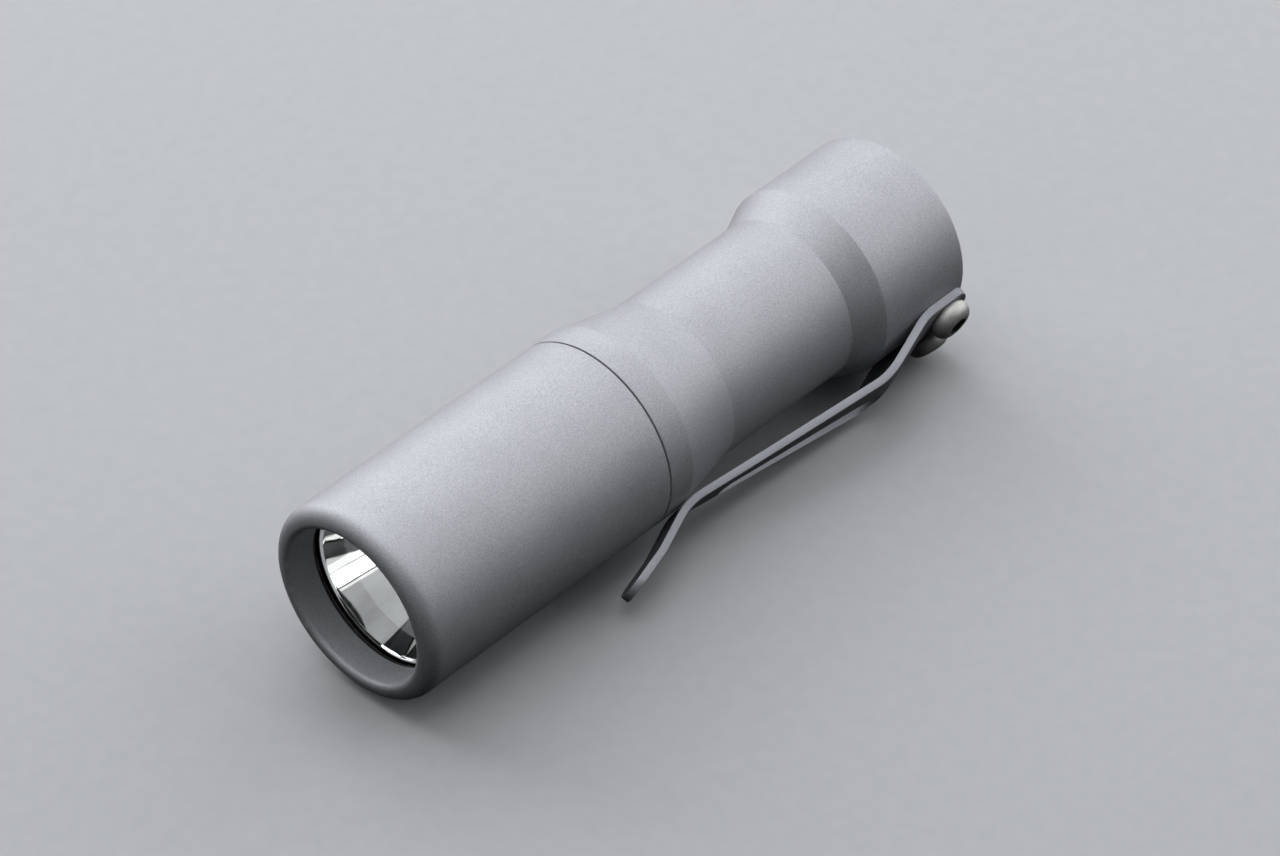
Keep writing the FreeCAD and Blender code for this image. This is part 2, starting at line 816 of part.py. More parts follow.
def make_body_tube():
    """One-piece tube: threaded neck, waist, flared tail with a solid end."""
    body = new_body("body_tube")
    groove_end = dims.groove_at + dims.groove_width
    revolve(body, "tube", [
        (neck_at, dims.cell_bore),
        (dims.floor_at, dims.cell_bore),
        (dims.floor_at, 0.0),
        (dims.light_length, 0.0),
        (dims.light_length, dims.head_radius),
        (dims.flare_end, dims.head_radius),
        (dims.waist_end, dims.waist_radius),
        (dims.waist_start, dims.waist_radius),
        (dims.band_end, dims.head_radius),
        (shoulder_at, dims.head_radius),
        (shoulder_at, dims.seal_land),
        (groove_end, dims.seal_land),
        (groove_end, dims.groove_floor),
        (dims.groove_at, dims.groove_floor),
        (dims.groove_at, dims.seal_land),
        (dims.seal_land_at, dims.seal_land),
        (dims.seal_land_at, dims.thread_root),
        (neck_at, dims.thread_root),
    ])
    soften(body, "tail_edge", "Fillet", [(dims.light_length, dims.head_radius)],
           dims.tail_round)
    soften(body, "seam_edge", "Chamfer", [(shoulder_at, dims.head_radius)],
           dims.seam_chamfer)
    hole_depth = dims.tail_screw_length - dims.plate_thick + dims.tail_screw_room
    drill(body, "tail_screw_hole", dims.floor_at, hole_depth, [(0.0, 0.0)],
          dims.tail_screw_hole)
    hole_bottom = dims.head_radius - dims.screw_depth
    for name, side in (("upper", -1.0), ("lower", 1.0)):
        before = body.Shape.Volume
        turn = dims.clip_angle + 90.0 + dims.screw_angle * side
        spot = new_sketch(body, "clip_screw_%s_spot" % name, "XY_Plane")
        lay_across(spot, "AttachmentOffset", hole_bottom, turn)
        circle(spot, (dims.screw_at, 0.0), dims.screw_hole)
        cut_from(body, "clip_screw_%s_hole" % name, spot, dims.screw_depth + PAST, before,
                 reverse=True)
    thread_ridge(
        body, "neck_thread", "AdditiveHelix", male_thread_at,
        dims.thread_root - dims.thread_gap, dims.thread_crest,
        dims.thread_foot_width, dims.thread_crest_width,
        dims.thread_pitch * dims.thread_turns,
    )
    return keep(body)


def make_neck_seal():
    """Rubber ring squeezed between the neck's groove and the head's seal bore."""
    centre = dims.groove_at + dims.groove_width / 2.0
    radius = (dims.groove_floor + dims.seal_bore) / 2.0
    return keep(seal_ring("neck_seal", centre, radius, dims.neck_seal_wire))


def make_clip_screws():
    """Two button-head socket screws that hold the clip, square to the tail's round wall."""
    screws = []
    for name, side in (("upper", -1.0), ("lower", 1.0)):
        body = doc.addObject("PartDesign::Body", "clip_screw_" + name)
        lay_across(body, "Placement", dims.screw_seat,
                   dims.clip_angle + 90.0 + dims.screw_angle * side)
        set_station(body, dims.screw_at)
        profile = new_sketch(body, name + "_screw_profile", "XZ_Plane")
        polygon(profile, [
            (0.0, -dims.screw_reach - (dims.screw_seat - dims.head_radius)),
            (dims.screw_shank, -dims.screw_reach - (dims.screw_seat - dims.head_radius)),
            (dims.screw_shank, 0.0),
            (dims.screw_head, 0.0),
            (dims.screw_head, dims.screw_height),
            (0.0, dims.screw_height),
        ])
        turned = body.newObject("PartDesign::Revolution", name + "_screw_blank")
        turned.Profile = profile
        turned.ReferenceAxis = (profile, ["V_Axis"])
        turned.Angle = 360
        doc.recompute()
        crown = body.newObject("PartDesign::Fillet", name + "_screw_crown")
        crown.Base = (turned, crown_edges(turned.Shape, dims.screw_height.number,
                                          dims.screw_head.number))
        bind(crown, "Radius", dims.screw_round)
        doc.recompute()
        before = body.Shape.Volume
        socket = new_sketch(body, name + "_socket", "XY_Plane")
        bind(socket, "AttachmentOffset.Base.z", dims.screw_height)
        across = dims.hex_across
        corner = across / math.sqrt(3.0)
        half_flat = across / (2.0 * math.sqrt(3.0))
        polygon(socket, [
            (corner, 0.0),
            (half_flat, across / 2.0),
            (-half_flat, across / 2.0),
            (-corner, 0.0),
            (-half_flat, -(across / 2.0)),
            (half_flat, -(across / 2.0)),
        ])
        cut_from(body, name + "_socket_cut", socket, dims.hex_depth, before)
        screws.append(body)
    keep(group("clip_screws", screws))


def make_pocket_clip():
    """Bent titanium sheet: curved base on the tail, raised slotted arm, flared tip.

    The bent sheet runs a little past both ends of the outline that trims it.
    """
    tip_rise = dims.clip_tip_height - dims.clip_touch_height
    tip_slope = tip_rise / (dims.clip_touch_at - dims.clip_tip_at)
    bend_line = doc.addObject("Sketcher::SketchObject", "clip_bend_line")
    rounded_path(bend_line, [
        (dims.clip_base_end + PAST, dims.clip_base_height),
        (dims.clip_base_start, dims.clip_base_height),
        (dims.clip_crest_at, dims.clip_crest_height),
        (dims.clip_touch_at, dims.clip_touch_height),
        (dims.clip_tip_at - PAST, dims.clip_tip_height + tip_slope * PAST),
    ], [dims.clip_foot_bend, dims.clip_crest_bend, dims.clip_touch_bend], closed=False)
    strip = doc.addObject("Part::Offset2D", "clip_strip")
    strip.Source = bend_line
    strip.Mode = "Skin"
    strip.Fill = True
    bind(strip, "Value", dims.clip_sheet)
    sweep = doc.addObject("Part::Revolution", "clip_sweep")
    sweep.Source = strip
    sweep.Axis = VECTOR(1, 0, 0)
    sweep.Base = VECTOR(0, 0, 0)
    bind(sweep, "Angle", dims.clip_sweep_angle)
    sweep.Symmetric = True
    sweep.Solid = True
    outline = doc.addObject("Sketcher::SketchObject", "clip_outline")
    outline.Placement.Rotation = ACROSS_X
    taper = (dims.clip_taper_start, dims.clip_half_width)
    waist = (dims.clip_taper_end, dims.clip_tip_half_width)
    tip = (dims.clip_tip_at, dims.clip_tip_half_width)
    base = (dims.clip_base_end, dims.clip_half_width)
    upper = [base, taper, waist, tip]
    lower = [(along, -out) for along, out in reversed(upper)]
    side_bend = dims.clip_side_bend
    radii = [dims.clip_corner, side_bend, side_bend, dims.clip_tip_half_width - ROUND_GAP]
    rounded_path(outline, upper + lower, radii + radii[::-1], closed=True)
    narrow = (dims.slot_narrow_at, dims.slot_narrow_half)
    wide = (dims.slot_wide_at, dims.slot_wide_half)
    end = (dims.slot_end_at, dims.slot_wide_half)
    upper = [end, wide, (narrow[0] - dims.slot_narrow_half, narrow[1])]
    lower = [(along, -out) for along, out in reversed(upper)]
    radii = [dims.slot_corner, side_bend, dims.slot_narrow_half - ROUND_GAP]
    rounded_path(outline, upper + lower, radii + radii[::-1], closed=True)
    slab = doc.addObject("Part::Extrusion", "clip_slab")
    slab.Base = outline
    slab.DirMode = "Custom"
    slab.Dir = VECTOR(0, 1, 0)
    slab.LengthFwd = SLAB_DEPTH
    slab.Solid = True
    blank = doc.addObject("Part::Common", "clip_blank")
    blank.Base = sweep
    blank.Tool = slab
    tools = []
    for name, side in (("upper", -1.0), ("lower", 1.0)):
        for kind, radius, start in (("hole", dims.clip_hole, dims.head_radius - PAST),
                                    ("face", dims.clip_spotface, dims.screw_seat)):
            drill_bit = doc.addObject("Part::Cylinder", "clip_%s_%s" % (name, kind))
            bind(drill_bit, "Radius", radius)
            bind(drill_bit, "Height", dims.screw_reach + dims.screw_height)
            lay_across(drill_bit, "Placement", start, dims.screw_angle * side - 90.0)
            bind(drill_bit, "Placement.Base.x", dims.screw_at)
            tools.append(drill_bit)
    bits = group("clip_bits", tools)
    clip = cut("pocket_clip", blank, bits)
    clip.Placement.Rotation = FreeCAD.Rotation(VECTOR(1, 0, 0), dims.clip_angle.number + 180)
    bind(clip, "Placement.Rotation.Angle", dims.clip_angle + 180.0)
    set_station(clip, 0.0)
    return keep(clip)


def make_cell():
    """The lithium cell: steel can, plain sleeve, button and insulating washer."""
    can_radius = dims.cell_radius - dims.sleeve_thick
    can_front = can_at + dims.washer_thick
    can = new_body("cell_can")
    revolve(can, "can", cylinder_profile(can_front, cell_end, can_radius))
    soften(can, "can_edges", "Fillet", [(cell_end, can_radius)], dims.cell_round)
    keep(can)
    button = new_body("cell_button")
    revolve(button, "button", cylinder_profile(cell_at, can_front, dims.button_radius))
    soften(button, "button_edge", "Fillet", [(cell_at, dims.button_radius)],
           dims.button_round)
    keep(button)
    washer = new_body("cell_washer")
    washer_hole = dims.button_radius + dims.button_gap
    revolve(washer, "washer", cylinder_profile(can_at, can_front, can_radius, washer_hole))
    keep(washer)
    sleeve = new_body("cell_sleeve")
    sleeve_end = cell_end - dims.cell_round
    revolve(sleeve, "sleeve", [
        (can_at - dims.sleeve_thick, dims.cell_radius - dims.sleeve_fold),
        (can_at, dims.cell_radius - dims.sleeve_fold),
        (can_at, can_radius),
        (sleeve_end, can_radius),
        (sleeve_end, dims.cell_radius),
        (can_at - dims.sleeve_thick, dims.cell_radius),
    ])
    return keep(sleeve)


def make_tail_contact():
    """Contact plate, its screw and the conical spring that pushes the cell forward."""
    plate = new_body("tail_contact_plate")
    revolve(plate, "plate",
            cylinder_profile(plate_at, dims.floor_at, dims.plate_radius, dims.plate_hole))
    keep(plate)
    screw = new_body("tail_contact_screw")
    head_at = plate_at - dims.tail_screw_height
    revolve(screw, "tail_screw", [
        (head_at, 0.0),
        (plate_at + dims.tail_screw_length, 0.0),
        (plate_at + dims.tail_screw_length, dims.tail_screw_shank),
        (plate_at, dims.tail_screw_shank),
        (plate_at, dims.tail_screw_head),
        (head_at, dims.tail_screw_head),
    ])
    soften(screw, "tail_screw_crown", "Fillet", [(head_at, dims.tail_screw_head)],
           dims.tail_screw_round)
    before = screw.Shape.Volume
    cross = new_sketch(screw, "cross_recess", "YZ_Plane")
    bind(cross, "AttachmentOffset.Base.z", head_at)
    arm = dims.cross_arm
    slit = dims.cross_slit
    polygon(cross, [
        (arm, -slit), (arm, slit), (slit, slit), (slit, arm), (-slit, arm), (-slit, slit),
        (-arm, slit), (-arm, -slit), (-slit, -slit), (-slit, -arm), (slit, -arm),
        (slit, -slit),
    ])
    cut_from(screw, "cross_recess_cut", cross, dims.cross_depth, before, reverse=True)
    keep(screw)
    spring = new_body("tail_spring")
    wire = new_sketch(spring, "spring_wire_section", "XY_Plane")
    base_at = plate_at - dims.spring_wire - dims.touch_gap
    circle(wire, (base_at, dims.spring_base), dims.spring_wire)
    coil = spring.newObject("PartDesign::AdditiveHelix", "spring_coil")
    coil.Profile = wire
    coil.ReferenceAxis = (wire, ["H_Axis"])
    coil.Mode = "height-turns-growth"
    run = base_at - cell_end - dims.spring_wire - dims.touch_gap
    bind(coil, "Height", run)
    bind(coil, "Turns", dims.spring_turns)
    bind(coil, "Growth", (dims.spring_top - dims.spring_base) / dims.spring_turns)
    coil.Reversed = True
    doc.recompute()
    return keep(spring)


def check_and_write():
    """Refuse any failed feature or broken solid, then write one STEP file per node."""
    doc.recompute()
    for thing in doc.Objects:
        if "Invalid" in thing.State or "Error" in thing.State:
            raise RuntimeError("%s failed: %s" % (thing.Name, thing.State))
    for node in nodes:
        if node.Shape.isNull() or not node.Shape.isValid() or not node.Shape.Solids:
            raise RuntimeError("%s has no sound solid" % node.Label)
    os.makedirs("parts", exist_ok=True)
    for node in nodes:
        node.Shape.exportStep("parts/%s.step" % node.Label)


make_head_shell()
make_neck_seal()
make_window()
make_reflector()
make_emitter()
make_led_board()
make_heat_sink()
make_driver()
make_retaining_ring()
make_contact_post()
make_lead("lead_positive", 1.0)
make_lead("lead_negative", -1.0)
make_body_tube()
make_clip_screws()
make_pocket_clip()
make_cell()
make_tail_contact()
check_and_write()
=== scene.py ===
"""The looks of a small metal flashlight with a bent pocket clip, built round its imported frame."""

import json
import math

import bmesh
import bpy
from mathutils import Matrix, Vector

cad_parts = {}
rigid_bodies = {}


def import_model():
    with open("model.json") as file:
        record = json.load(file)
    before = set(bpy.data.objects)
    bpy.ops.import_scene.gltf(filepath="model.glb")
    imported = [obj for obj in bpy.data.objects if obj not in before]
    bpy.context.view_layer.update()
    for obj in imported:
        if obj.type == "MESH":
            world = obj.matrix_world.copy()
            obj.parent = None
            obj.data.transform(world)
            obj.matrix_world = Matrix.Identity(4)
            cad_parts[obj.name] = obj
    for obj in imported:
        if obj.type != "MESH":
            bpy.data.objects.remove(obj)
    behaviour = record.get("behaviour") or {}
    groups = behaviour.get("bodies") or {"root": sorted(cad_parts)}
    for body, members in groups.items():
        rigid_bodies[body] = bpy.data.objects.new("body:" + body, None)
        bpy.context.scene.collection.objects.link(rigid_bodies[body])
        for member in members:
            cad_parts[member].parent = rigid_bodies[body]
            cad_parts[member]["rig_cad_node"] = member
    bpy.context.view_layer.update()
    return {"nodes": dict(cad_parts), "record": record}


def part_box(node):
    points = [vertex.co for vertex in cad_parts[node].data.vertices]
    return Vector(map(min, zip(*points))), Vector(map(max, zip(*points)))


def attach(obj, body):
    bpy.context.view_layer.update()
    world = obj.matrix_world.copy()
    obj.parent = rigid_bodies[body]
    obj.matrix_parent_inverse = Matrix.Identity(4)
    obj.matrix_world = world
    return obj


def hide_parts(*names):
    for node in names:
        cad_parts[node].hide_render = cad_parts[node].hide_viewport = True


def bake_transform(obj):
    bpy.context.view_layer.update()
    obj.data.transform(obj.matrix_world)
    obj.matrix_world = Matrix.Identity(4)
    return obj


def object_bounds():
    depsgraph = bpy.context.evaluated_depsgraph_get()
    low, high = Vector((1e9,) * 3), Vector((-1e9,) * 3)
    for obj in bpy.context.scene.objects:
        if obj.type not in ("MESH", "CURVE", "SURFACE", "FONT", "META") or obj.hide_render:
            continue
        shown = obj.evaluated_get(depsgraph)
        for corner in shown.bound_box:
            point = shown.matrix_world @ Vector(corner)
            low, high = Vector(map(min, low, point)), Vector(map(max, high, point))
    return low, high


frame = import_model()

MM = 0.001
TURN = 2 * math.pi

# Millimetres: radii closer than SAME are equal, ones under ON_AXIS are points on the axis,
# and CLEARANCE keeps touching faces apart.
SAME = 1e-4
ON_AXIS = 1e-6
CLEARANCE = 0.01

# The longest run of an outline, in millimetres, along a thread and elsewhere.
FINE_RUN = 0.06
COARSE_RUN = 0.8

# Stations are millimetres from the front rim, along the light; radii are millimetres.
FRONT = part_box("head_shell")[0].x
HEAD_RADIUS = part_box("head_shell")[1].z / MM
SEAM = (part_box("head_shell")[1].x - FRONT) / MM
TAIL = (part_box("body_tube")[1].x - FRONT) / MM
NECK = (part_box("body_tube")[0].x - FRONT) / MM
WINDOW_FRONT = (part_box("window")[0].x - FRONT) / MM
WINDOW_BACK = (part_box("window")[1].x - FRONT) / MM
WINDOW_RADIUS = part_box("window")[1].z / MM
RING_BACK = (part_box("retaining_ring")[1].x - FRONT) / MM
MIRROR_BACK = (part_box("reflector")[1].x - FRONT) / MM

# Head and tube.
LIP_BORE = 9.15
LIP_DEPTH = 3.75
BARREL_BORE = 9.8
SHOULDER = SEAM + 0.22
BAND_END = 39.1
WAIST_START = 47.45
WAIST_END = 66.5
FLARE_END = 70.4
WAIST_RADIUS = 9.81
CELL_BORE = 8.6
FLOOR = 76.9

# The neck thread's form, then its rubber ring's groove and the bore that it seals against.
# THREAD_RELIEF is the plain bore ahead of the head's thread, and THREAD_LEAD is how far
# ahead of that thread its turns are counted from.
PITCH = 1.0
THREAD_ROOT = 9.87
THREAD_CREST = 10.33
THREAD_FOOT_WIDTH = 0.6
THREAD_CREST_WIDTH = 0.26
THREAD_GAP = 0.06
THREAD_TURNS = 2.6
THREAD_RELIEF = 0.8
THREAD_LEAD = 0.6
SEAL_BORE = 10.45
SEAL_LAND = 10.38
SEAL_LAND_AT = 33.8
GROOVE_AT = 34.25
GROOVE_WIDTH = 1.0
GROOVE_FLOOR = 9.5

# Clip and its screws.  CLIP_ANGLE is how far the clip's middle lies below the -Y side, and
# SCREW_ANGLE is how far each screw lies from that middle.
CLIP_ANGLE = math.radians(32.5)
CLIP_SHEET = 0.8
SCREW_AT = 80.4
SCREW_ANGLE = math.radians(13.0)
SCREW_SEAT = 12.2


def at(station):
    """A station in millimetres from the front rim, as a place in the frame."""
    return FRONT + station * MM


# ---------------------------------------------------------------- outlines and turned pieces

def round_corners(corners, closed, steps=7):
    """Replace corners (along, out, radius) by arcs; a radius of 0 leaves a corner sharp."""
    count = len(corners)
    points = []
    for number, (along, out, radius) in enumerate(corners):
        here = Vector((along, out))
        inner = closed or 0 < number < count - 1
        if not radius or not inner:
            points.append(here)
            continue
        before = Vector(corners[number - 1][:2]) - here
        after = Vector(corners[(number + 1) % count][:2]) - here
        half = before.angle(after) / 2
        back = radius / math.tan(half)
        start = here + before.normalized() * back
        centre = here + (before.normalized() + after.normalized()).normalized() * (
            radius / math.sin(half))
        first = start - centre
        last = here + after.normalized() * back - centre
        swing = first.angle_signed(last)
        for step in range(steps + 1):
            turned = first.copy()
            turned.rotate(Matrix.Rotation(-swing * step / steps, 2))
            points.append(centre + turned)
    return points


def even_out(points, longest, closed):
    """Split the straight runs of an outline so that no run is longer than a limit."""
    result = []
    ends = points[1:] + points[:1] if closed else points[1:]
    for start, end in zip(points, ends):
        pieces = max(1, math.ceil((end - start).length / longest))
        result += [start.lerp(end, piece / pieces) for piece in range(pieces)]
    if not closed:
        result.append(points[-1])
    return result


def sweep(name, outline, segments, closed, spot):
    """Sweep an outline of (height, radius) round an axis into a smooth-shaded mesh.

    spot gives the place of a height, radius and angle.  A radius of 0 gives a single point.
    """
    mesh = bmesh.new()
    rings = []
    for height, radius in outline:
        count = segments if radius > ON_AXIS else 1
        rings.append([mesh.verts.new(spot(height, radius, TURN * segment / segments))
                      for segment in range(count)])
    following = rings[1:] + rings[:1] if closed else rings[1:]
    for ring, after in zip(rings, following):
        for segment in range(segments):
            near = (segment + 1) % segments
            corners = []
            for vert in (ring[segment % len(ring)], after[segment % len(after)],
                         after[near % len(after)], ring[near % len(ring)]):
                if vert not in corners:
                    corners.append(vert)
            mesh.faces.new(corners)
    return finish_mesh(name, mesh)


def spin(name, outline, segments=192, closed=True, shape=None):
    """Turn an outline (station, radius) about the light's axis into a closed mesh.

    An outline that isn't closed runs from the axis to the axis.  shape, if given, takes a
    station, a radius and an angle and returns the radius there, for threads.
    """
    def spot(station, radius, angle):
        reach = (shape(station, radius, angle) if shape else radius) * MM
        return at(station), reach * math.cos(angle), reach * math.sin(angle)

    return sweep(name, outline, segments, closed, spot)


def spin_local(name, outline, segments, shape=None):
    """Turn an outline (height, radius) about local Z, from the axis to the axis."""
    def spot(height, radius, angle):
        reach = (shape(height, radius, angle) if shape else radius) * MM
        return reach * math.cos(angle), reach * math.sin(angle), height * MM

    return sweep(name, outline, segments, False, spot)


def finish_mesh(name, mesh, sharp=35):
    """Turn a bmesh into a smooth-shaded object whose hard edges stay hard."""
    bmesh.ops.recalc_face_normals(mesh, faces=mesh.faces)
    data = bpy.data.meshes.new(name)
    mesh.to_mesh(data)
    mesh.free()
    thing = bpy.data.objects.new(name, data)
    bpy.context.scene.collection.objects.link(thing)
    smooth(thing, sharp)
    return thing


def smooth(thing, sharp=35):
    """Shade a mesh smooth, apart from edges that turn more than an angle in degrees."""
    thing.data.shade_smooth()
    thing.data.set_sharp_from_angle(angle=math.radians(sharp))


def apply_modifiers(thing):
    """Bake an object's modifiers into its mesh."""
    view = bpy.context.view_layer
    view.update()
    baked = bpy.data.meshes.new_from_object(thing.evaluated_get(view.depsgraph))
    thing.modifiers.clear()
    thing.data = baked


def split_for_thread(rough, thread_radius, closed):
    """Split an outline's runs: finely where the thread is cut, coarsely elsewhere."""
    outline = []
    ends = rough[1:] + rough[:1] if closed else rough[1:]
    for start, end in zip(rough, ends):
        fine = all(abs(spot.y - thread_radius) < SAME for spot in (start, end))
        outline += even_out([start, end], FINE_RUN if fine else COARSE_RUN, closed=False)[:-1]
    if not closed:
        outline.append(rough[-1])
    return outline


def trapezium(phase, foot, crest):
    """Height, 0 to 1, of a thread form centred on phase 0 and repeating every 1."""
    offset = abs((phase + 0.5) % 1.0 - 0.5)
    return min(1.0, max(0.0, (foot / 2 - offset) / ((foot - crest) / 2)))


# ---------------------------------------------------------------- materials

def new_material(name, colour, metallic, roughness):
    """A material whose principled shader the caller goes on to wire up."""
    material = bpy.data.materials.new(name)
    material.use_nodes = True
    shader = material.node_tree.nodes["Principled BSDF"]
    shader.inputs["Base Color"].default_value = (*colour, 1)
    shader.inputs["Metallic"].default_value = metallic
    shader.inputs["Roughness"].default_value = roughness
    return material, shader


def add(material, kind, **settings):
    """Add a node and set its properties and inputs by name."""
    node = material.node_tree.nodes.new("ShaderNode" + kind)
    for name, value in settings.items():
        if hasattr(node, name):
            setattr(node, name, value)
        else:
            node.inputs[name.replace("_", " ")].default_value = value
    return node


def link(material, source, target):
    material.node_tree.links.new(source, target)


def place_noise(material, size, detail=2.0, stretch=(1, 1, 1)):
    """Noise fixed to the object; size is its grain in millimetres."""
    place = add(material, "TexCoord")
    mapping = add(material, "Mapping")
    mapping.inputs["Scale"].default_value = stretch
    noise = add(material, "TexNoise", Scale=1.0 / (size * MM), Detail=detail)
    link(material, place.outputs["Object"], mapping.inputs["Vector"])
    link(material, mapping.outputs["Vector"], noise.inputs["Vector"])
    return noise.outputs["Fac"]


def ramp(material, source, low, high, start=0.35, end=0.65):
    """Map a value to a colour between two colours."""
    node = add(material, "ValToRGB")
    node.color_ramp.elements[0].position = start
    node.color_ramp.elements[0].color = (*low, 1)
    node.color_ramp.elements[1].position = end
    node.color_ramp.elements[1].color = (*high, 1)
    link(material, source, node.inputs["Fac"])
    return node.outputs["Color"]


def spread(material, source, low, high, start=0.3, end=0.7):
    """Map a value to a number between two limits."""
    node = add(material, "MapRange", From_Min=start, From_Max=end, To_Min=low, To_Max=high)
    link(material, source, node.inputs["Value"])
    return node.outputs["Result"]


def bump(material, shader, source, depth):
    """Raise the surface by a value; depth is in millimetres."""
    node = add(material, "Bump", Strength=1.0, Distance=depth * MM)
    link(material, source, node.inputs["Height"])
    link(material, node.outputs["Normal"], shader.inputs["Normal"])


def tinted(colour, share):
    return tuple(channel * share for channel in colour)


def blasted_metal(name, colour, roughness=0.6, grain=0.15):
    """Bead-blasted metal: fine pits, soft cloudiness and paler worn edges."""
    cloud_size = 5.0
    pit_depth = 0.012
    pit_shade, crest_shade, worn_shade = 0.78, 1.2, 1.35
    material, shader = new_material(name, colour, 0.6, roughness)
    fine = place_noise(material, grain, detail=3.0)
    cloud = place_noise(material, cloud_size, detail=3.0)
    speckle = ramp(material, fine, tinted(colour, pit_shade), tinted(colour, crest_shade),
                   0.3, 0.7)
    mix = add(material, "Mix", data_type="RGBA", blend_type="MULTIPLY")
    mix.inputs["Factor"].default_value = 1.0
    link(material, speckle, mix.inputs["A"])
    link(material, ramp(material, cloud, (0.95, 0.95, 0.95), (1, 1, 1)), mix.inputs["B"])
    edge = add(material, "NewGeometry")
    worn = spread(material, edge.outputs["Pointiness"], 0.0, 0.5, 0.52, 0.62)
    wear = add(material, "Mix", data_type="RGBA")
    link(material, worn, wear.inputs["Factor"])
    link(material, mix.outputs["Result"], wear.inputs["A"])
    wear.inputs["B"].default_value = (*tinted(colour, worn_shade), 1)
    link(material, wear.outputs["Result"], shader.inputs["Base Color"])
    link(material, spread(material, fine, roughness - 0.06, roughness + 0.08),
         shader.inputs["Roughness"])
    bump(material, shader, fine, pit_depth)
    return material


def turned_metal(name, colour, roughness=0.28):
    """Lathe-turned metal: faint rings round the light's axis, with light scuffs."""
    ring_pitch = 0.12
    ring_depth = 0.006
    scuff_size = 1.5
    material, shader = new_material(name, colour, 1.0, roughness)
    rings = place_noise(material, ring_pitch, detail=2.0, stretch=(1, 0.02, 0.02))
    scuff = place_noise(material, scuff_size, detail=4.0)
    link(material, ramp(material, scuff, tinted(colour, 0.86), colour),
         shader.inputs["Base Color"])
    link(material, spread(material, scuff, roughness - 0.05, roughness + 0.12),
         shader.inputs["Roughness"])
    bump(material, shader, rings, ring_depth)
    return material


def socket_metal(name, colour):
    """Satin metal of a screw head, with painted shade darkening the inside of its socket."""
    # Painted shade: inside these radii from the screw's axis the colour turns near-black, as the
    # socket's recess would be in shadow.
    socket_shade_starts, socket_shade_full = 1.22 * MM, 1.12 * MM
    socket_shade_share = 0.06
    material, shader = new_material(name, colour, 0.6, 0.5)
    scuff = place_noise(material, 0.5, detail=4.0)
    place = add(material, "TexCoord")
    parts = add(material, "SeparateXYZ")
    link(material, place.outputs["Object"], parts.inputs["Vector"])
    radius = add(material, "VectorMath", operation="LENGTH")
    flat = add(material, "CombineXYZ")
    link(material, parts.outputs["X"], flat.inputs["X"])
    link(material, parts.outputs["Y"], flat.inputs["Y"])
    link(material, flat.outputs["Vector"], radius.inputs[0])
    # Mask of the painted shade: 1 deep inside the socket, 0 beyond its rim.
    inside = spread(material, radius.outputs["Value"], 1.0, 0.0, socket_shade_full, socket_shade_starts)
    mix = add(material, "Mix", data_type="RGBA")
    link(material, inside, mix.inputs["Factor"])
    link(material, ramp(material, scuff, tinted(colour, 0.88), colour), mix.inputs["A"])
    mix.inputs["B"].default_value = (*tinted(colour, socket_shade_share), 1)
    link(material, mix.outputs["Result"], shader.inputs["Base Color"])
    link(material, spread(material, scuff, 0.42, 0.6), shader.inputs["Roughness"])
    bump(material, shader, place_noise(material, 0.12, detail=2.0), 0.006)
    return material


def rubber(name, colour=(0.012, 0.012, 0.013)):
    """Satin nitrile rubber with a little dust."""
    material, shader = new_material(name, colour, 0.0, 0.5)
    fine = place_noise(material, 0.12, detail=3.0)
    dust = place_noise(material, 0.9, detail=4.0)
    link(material, ramp(material, dust, colour, tinted(colour, 2.6), 0.55, 0.8),
         shader.inputs["Base Color"])
    link(material, spread(material, dust, 0.42, 0.65), shader.inputs["Roughness"])
    bump(material, shader, fine, 0.01)
    return material


def plastic(name, colour, roughness=0.45, speck=0.3):
    """Moulded plastic, ceramic or laminate with a fine uneven surface."""
    material, shader = new_material(name, colour, 0.0, roughness)
    fine = place_noise(material, speck, detail=3.0)
    link(material, ramp(material, fine, tinted(colour, 0.85), colour),
         shader.inputs["Base Color"])
    link(material, spread(material, fine, roughness - 0.06, roughness + 0.1),
         shader.inputs["Roughness"])
    bump(material, shader, fine, 0.008)
    return material


def mirror_metal(name):
    """Vacuum-metallised mirror with the faintest waviness and haze."""
    material, shader = new_material(name, (0.93, 0.92, 0.9), 1.0, 0.03)
    haze = place_noise(material, 2.0, detail=4.0)
    link(material, ramp(material, haze, (0.88, 0.875, 0.86), (0.95, 0.945, 0.93)),
         shader.inputs["Base Color"])
    link(material, spread(material, haze, 0.015, 0.06), shader.inputs["Roughness"])
    bump(material, shader, place_noise(material, 3.5, detail=1.0), 0.01)
    return material


def clear_glass(name, tint, index=None):
    """Coated glass that casts no shadow, smudged at glancing angles.

    It bends what is seen through it if a refractive index is given.
    """
    sheen = 0.6
    smudge_size = 4.0
    coating_index = 1.38
    material, shader = new_material(name, tint, 0.0, 0.02)
    tree = material.node_tree
    smudge = place_noise(material, smudge_size, detail=5.0)
    straight = add(material, "BsdfTransparent", Color=(*tint, 1))
    clear = straight.outputs["BSDF"]
    if index:
        bent = add(material, "BsdfRefraction", Color=(*tint, 1), Roughness=0.0, IOR=index)
        path = add(material, "LightPath")
        mix = add(material, "MixShader")
        link(material, path.outputs["Is Shadow Ray"], mix.inputs["Fac"])
        link(material, bent.outputs["BSDF"], mix.inputs[1])
        link(material, clear, mix.inputs[2])
        clear = mix.outputs["Shader"]
    gloss = add(material, "BsdfAnisotropic")
    link(material, spread(material, smudge, 0.02, 0.08), gloss.inputs["Roughness"])
    facing = add(material, "Fresnel", IOR=coating_index)
    scaled = add(material, "Math", operation="MULTIPLY")
    scaled.inputs[1].default_value = sheen
    link(material, facing.outputs["Fac"], scaled.inputs[0])
    blend = add(material, "MixShader")
    link(material, scaled.outputs["Value"], blend.inputs["Fac"])
    link(material, clear, blend.inputs[1])
    link(material, gloss.outputs["BSDF"], blend.inputs[2])
    link(material, blend.outputs["Shader"], tree.nodes["Material Output"].inputs["Surface"])
    tree.nodes.remove(shader)
    return material


